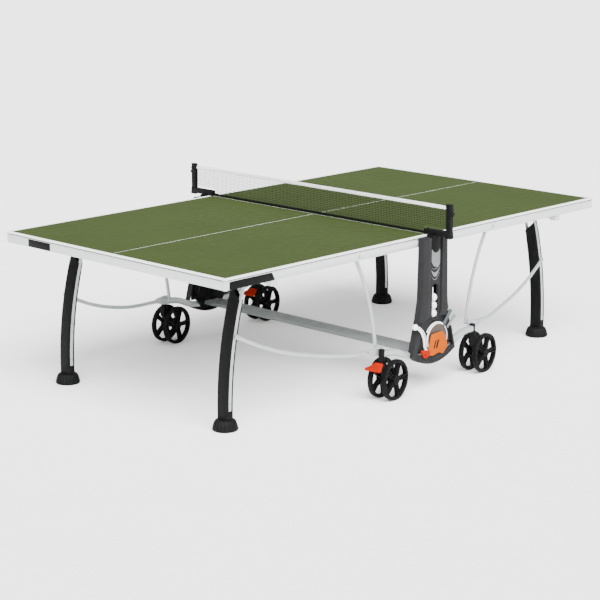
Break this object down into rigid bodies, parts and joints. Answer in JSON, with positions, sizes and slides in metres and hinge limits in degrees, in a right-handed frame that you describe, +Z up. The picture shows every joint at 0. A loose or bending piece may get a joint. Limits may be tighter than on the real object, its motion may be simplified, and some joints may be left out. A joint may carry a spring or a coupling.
{
  "type": "ping pong table",
  "caption": "Folding roll-away ping pong table with a net, two playing halves that fold upright, curved legs, twin-wheel casters and ball and bat storage in the centre pillars.",
  "frame": {"origin": "on the floor under the middle of the net", "axes": "+X along the table's length towards the right half, +Y across it towards the far side, +Z up"},
  "size_m": [2.74, 1.798, 0.921],
  "materials": {
    "green_laminate": "smooth matt resin laminate with white playing lines",
    "white_steel": "satin powder coat",
    "silver_tube": "silver powder coat",
    "grey_steel": "grey powder coat",
    "dark_plastic": "moulded, fine grain",
    "black_plastic": "moulded, satin",
    "orange_plastic": "moulded, semi-gloss",
    "white_plastic": "smooth",
    "bat_rubber": "dimpled bat face",
    "net_mesh": "woven mesh",
    "white_tape": "woven band",
    "zinc_steel": "zinc plated",
    "black_steel": "black powder coat",
    "tyre_plastic": "moulded wheel"
  },
  "bodies": {
    "chassis": {"cross_beam": "grey_steel", "net": "net_mesh", "net_tape": "white_tape", "near_wheel_bar": "silver_tube", "near_pillar_cover": "dark_plastic", "near_guide_plate": "black_steel", "near_net_bracket": "black_plastic", "near_ball_stack": "white_plastic", "near_ball_guide": "white_plastic", "near_stored_bat": "bat_rubber", "far_wheel_bar": "silver_tube", "far_pillar_cover": "dark_plastic", "far_guide_plate": "black_steel", "far_net_bracket": "black_plastic", "far_ball_stack": "white_plastic", "far_ball_guide": "white_plastic", "far_stored_bat": "bat_rubber"},
    "left_slide": {"near_left_carriage": "zinc_steel", "far_left_carriage": "zinc_steel"},
    "left_top": {"left_playing_surface": "green_laminate", "left_top_frame": "white_steel"},
    "left_legs": {"left_leg_frame": "silver_tube", "near_left_leg_shell": "dark_plastic", "far_left_leg_shell": "dark_plastic"},
    "near_left_foot": {"near_left_foot": "black_plastic"},
    "near_left_strut": {"near_left_strut": "silver_tube"},
    "near_left_stay": {"near_left_stay": "silver_tube"},
    "far_left_foot": {"far_left_foot": "black_plastic"},
    "far_left_strut": {"far_left_strut": "silver_tube"},
    "far_left_stay": {"far_left_stay": "silver_tube"},
    "right_slide": {"near_right_carriage": "zinc_steel", "far_right_carriage": "zinc_steel"},
    "right_top": {"right_playing_surface": "green_laminate", "right_top_frame": "white_steel"},
    "right_legs": {"right_leg_frame": "silver_tube", "near_right_leg_shell": "dark_plastic", "far_right_leg_shell": "dark_plastic"},
    "near_right_foot": {"near_right_foot": "black_plastic"},
    "near_right_strut": {"near_right_strut": "silver_tube"},
    "near_right_stay": {"near_right_stay": "silver_tube"},
    "far_right_foot": {"far_right_foot": "black_plastic"},
    "far_right_strut": {"far_right_strut": "silver_tube"},
    "far_right_stay": {"far_right_stay": "silver_tube"},
    "near_left_caster": {"near_left_caster_fork": "black_plastic"},
    "near_left_near_wheel": {"near_left_near_wheel": "tyre_plastic"},
    "near_left_far_wheel": {"near_left_far_wheel": "tyre_plastic"},
    "near_left_brake": {"near_left_brake_pedal": "orange_plastic"},
    "near_right_caster": {"near_right_caster_fork": "black_plastic"},
    "near_right_near_wheel": {"near_right_near_wheel": "tyre_plastic"},
    "near_right_far_wheel": {"near_right_far_wheel": "tyre_plastic"},
    "near_release": {"near_release_handle": "orange_plastic"},
    "far_left_caster": {"far_left_caster_fork": "black_plastic"},
    "far_left_near_wheel": {"far_left_near_wheel": "tyre_plastic"},
    "far_left_far_wheel": {"far_left_far_wheel": "tyre_plastic"},
    "far_right_caster": {"far_right_caster_fork": "black_plastic"},
    "far_right_near_wheel": {"far_right_near_wheel": "tyre_plastic"},
    "far_right_far_wheel": {"far_right_far_wheel": "tyre_plastic"},
    "far_right_brake": {"far_right_brake_pedal": "orange_plastic"},
    "far_release": {"far_release_handle": "orange_plastic"}
  },
  "joints": [
    {"name": "left_drop", "type": "slide", "parent": "chassis", "child": "left_slide", "axis": [0, 0, -1], "range_m": [0, 0.487]},
    {"name": "left_fold", "type": "hinge", "parent": "left_slide", "child": "left_top", "pos_m": [-0.075, 0, 0.742], "axis": [0, 1, 0], "range_deg": [0, 90]},
    {"name": "left_leg_fold", "type": "hinge", "parent": "left_top", "child": "left_legs", "pos_m": [-1.058, 0, 0.695], "axis": [0, 1, 0], "range_deg": [-82, 0]},
    {"name": "near_left_level", "type": "slide", "parent": "left_legs", "child": "near_left_foot", "axis": [0, 0, -1], "range_m": [0, 0.015]},
    {"name": "near_left_strut_pivot", "type": "hinge", "parent": "left_top", "child": "near_left_strut", "pos_m": [-0.502, -0.724, 0.728], "axis": [0, 1, 0], "range_deg": [-41, 0]},
    {"name": "near_left_stay_pivot", "type": "hinge", "parent": "chassis", "child": "near_left_stay", "pos_m": [-0.405, -0.737, 0.25], "axis": [0, 1, 0], "range_deg": [0, 88.5]},
    {"name": "far_left_level", "type": "slide", "parent": "left_legs", "child": "far_left_foot", "axis": [0, 0, -1], "range_m": [0, 0.015]},
    {"name": "far_left_strut_pivot", "type": "hinge", "parent": "left_top", "child": "far_left_strut", "pos_m": [-0.502, 0.724, 0.728], "axis": [0, 1, 0], "range_deg": [-41, 0]},
    {"name": "far_left_stay_pivot", "type": "hinge", "parent": "chassis", "child": "far_left_stay", "pos_m": [-0.405, 0.737, 0.25], "axis": [0, 1, 0], "range_deg": [0, 88.5]},
    {"name": "right_drop", "type": "slide", "parent": "chassis", "child": "right_slide", "axis": [0, 0, -1], "range_m": [0, 0.487]},
    {"name": "right_fold", "type": "hinge", "parent": "right_slide", "child": "right_top", "pos_m": [0.075, 0, 0.742], "axis": [0, -1, 0], "range_deg": [0, 90]},
    {"name": "right_leg_fold", "type": "hinge", "parent": "right_top", "child": "right_legs", "pos_m": [1.058, 0, 0.695], "axis": [0, -1, 0], "range_deg": [-82, 0]},
    {"name": "near_right_level", "type": "slide", "parent": "right_legs", "child": "near_right_foot", "axis": [0, 0, -1], "range_m": [0, 0.015]},
    {"name": "near_right_strut_pivot", "type": "hinge", "parent": "right_top", "child": "near_right_strut", "pos_m": [0.502, -0.724, 0.728], "axis": [0, -1, 0], "range_deg": [-41, 0]},
    {"name": "near_right_stay_pivot", "type": "hinge", "parent": "chassis", "child": "near_right_stay", "pos_m": [0.405, -0.737, 0.25], "axis": [0, -1, 0], "range_deg": [0, 88.5]},
    {"name": "far_right_level", "type": "slide", "parent": "right_legs", "child": "far_right_foot", "axis": [0, 0, -1], "range_m": [0, 0.015]},
    {"name": "far_right_strut_pivot", "type": "hinge", "parent": "right_top", "child": "far_right_strut", "pos_m": [0.502, 0.724, 0.728], "axis": [0, -1, 0], "range_deg": [-41, 0]},
    {"name": "far_right_stay_pivot", "type": "hinge", "parent": "chassis", "child": "far_right_stay", "pos_m": [0.405, 0.737, 0.25], "axis": [0, -1, 0], "range_deg": [0, 88.5]},
    {"name": "near_left_swivel", "type": "hinge", "parent": "chassis", "child": "near_left_caster", "pos_m": [-0.345, -0.766, 0.206], "axis": [0, 0, 1], "continuous": true},
    {"name": "near_left_near_roll", "type": "hinge", "parent": "near_left_caster", "child": "near_left_near_wheel", "pos_m": [-0.28612, -0.80003, 0.1], "axis": [-0.1045, 0.9945, 0], "continuous": true},
    {"name": "near_left_far_roll", "type": "hinge", "parent": "near_left_caster", "child": "near_left_far_wheel", "pos_m": [-0.29448, -0.72047, 0.1], "axis": [-0.1045, 0.9945, 0], "continuous": true},
    {"name": "near_left_brake", "type": "hinge", "parent": "near_left_caster", "child": "near_left_brake", "pos_m": [-0.36688, -0.7683, 0.186], "axis": [0.1045, -0.9945, 0], "range_deg": [0, 12]},
    {"name": "near_right_swivel", "type": "hinge", "parent": "chassis", "child": "near_right_caster", "pos_m": [0.345, -0.766, 0.206], "axis": [0, 0, 1], "continuous": true},
    {"name": "near_right_near_roll", "type": "hinge", "parent": "near_right_caster", "child": "near_right_near_wheel", "pos_m": [0.40388, -0.80003, 0.1], "axis": [-0.1045, 0.9945, 0], "continuous": true},
    {"name": "near_right_far_roll", "type": "hinge", "parent": "near_right_caster", "child": "near_right_far_wheel", "pos_m": [0.39552, -0.72047, 0.1], "axis": [-0.1045, 0.9945, 0], "continuous": true},
    {"name": "near_release", "type": "hinge", "parent": "chassis", "child": "near_release", "pos_m": [0, -0.8135, 0.17], "axis": [1, 0, 0], "range_deg": [0, 30], "stiffness_Nm_per_rad": 1, "springref_deg": -11.46},
    {"name": "far_left_swivel", "type": "hinge", "parent": "chassis", "child": "far_left_caster", "pos_m": [-0.345, 0.766, 0.206], "axis": [0, 0, 1], "continuous": true},
    {"name": "far_left_near_roll", "type": "hinge", "parent": "far_left_caster", "child": "far_left_near_wheel", "pos_m": [-0.28612, 0.73197, 0.1], "axis": [-0.1045, 0.9945, 0], "continuous": true},
    {"name": "far_left_far_roll", "type": "hinge", "parent": "far_left_caster", "child": "far_left_far_wheel", "pos_m": [-0.29448, 0.81153, 0.1], "axis": [-0.1045, 0.9945, 0], "continuous": true},
    {"name": "far_right_swivel", "type": "hinge", "parent": "chassis", "child": "far_right_caster", "pos_m": [0.345, 0.766, 0.206], "axis": [0, 0, 1], "continuous": true},
    {"name": "far_right_near_roll", "type": "hinge", "parent": "far_right_caster", "child": "far_right_near_wheel", "pos_m": [0.40388, 0.73197, 0.1], "axis": [-0.1045, 0.9945, 0], "continuous": true},
    {"name": "far_right_far_roll", "type": "hinge", "parent": "far_right_caster", "child": "far_right_far_wheel", "pos_m": [0.39552, 0.81153, 0.1], "axis": [-0.1045, 0.9945, 0], "continuous": true},
    {"name": "far_right_brake", "type": "hinge", "parent": "far_right_caster", "child": "far_right_brake", "pos_m": [0.32312, 0.7637, 0.186], "axis": [0.1045, -0.9945, 0], "range_deg": [0, 12]},
    {"name": "far_release", "type": "hinge", "parent": "chassis", "child": "far_release", "pos_m": [0, 0.8135, 0.17], "axis": [-1, 0, 0], "range_deg": [0, 30], "stiffness_Nm_per_rad": 1, "springref_deg": -11.46}
  ],
  "couplings": [
    {"joint": "left_drop", "follows": "left_fold", "m_per_rad": 0.30972},
    {"joint": "left_leg_fold", "follows": "left_fold", "ratio": -0.91022},
    {"joint": "near_left_strut_pivot", "follows": "left_fold", "ratio": -0.45141},
    {"joint": "near_left_stay_pivot", "follows": "left_fold", "ratio": 0.98204},
    {"joint": "far_left_strut_pivot", "follows": "left_fold", "ratio": -0.45141},
    {"joint": "far_left_stay_pivot", "follows": "left_fold", "ratio": 0.98204},
    {"joint": "right_drop", "follows": "right_fold", "m_per_rad": 0.30972},
    {"joint": "right_leg_fold", "follows": "right_fold", "ratio": -0.91022},
    {"joint": "near_right_strut_pivot", "follows": "right_fold", "ratio": -0.45141},
    {"joint": "near_right_stay_pivot", "follows": "right_fold", "ratio": 0.98204},
    {"joint": "far_right_strut_pivot", "follows": "right_fold", "ratio": -0.45141},
    {"joint": "far_right_stay_pivot", "follows": "right_fold", "ratio": 0.98204}
  ]
}
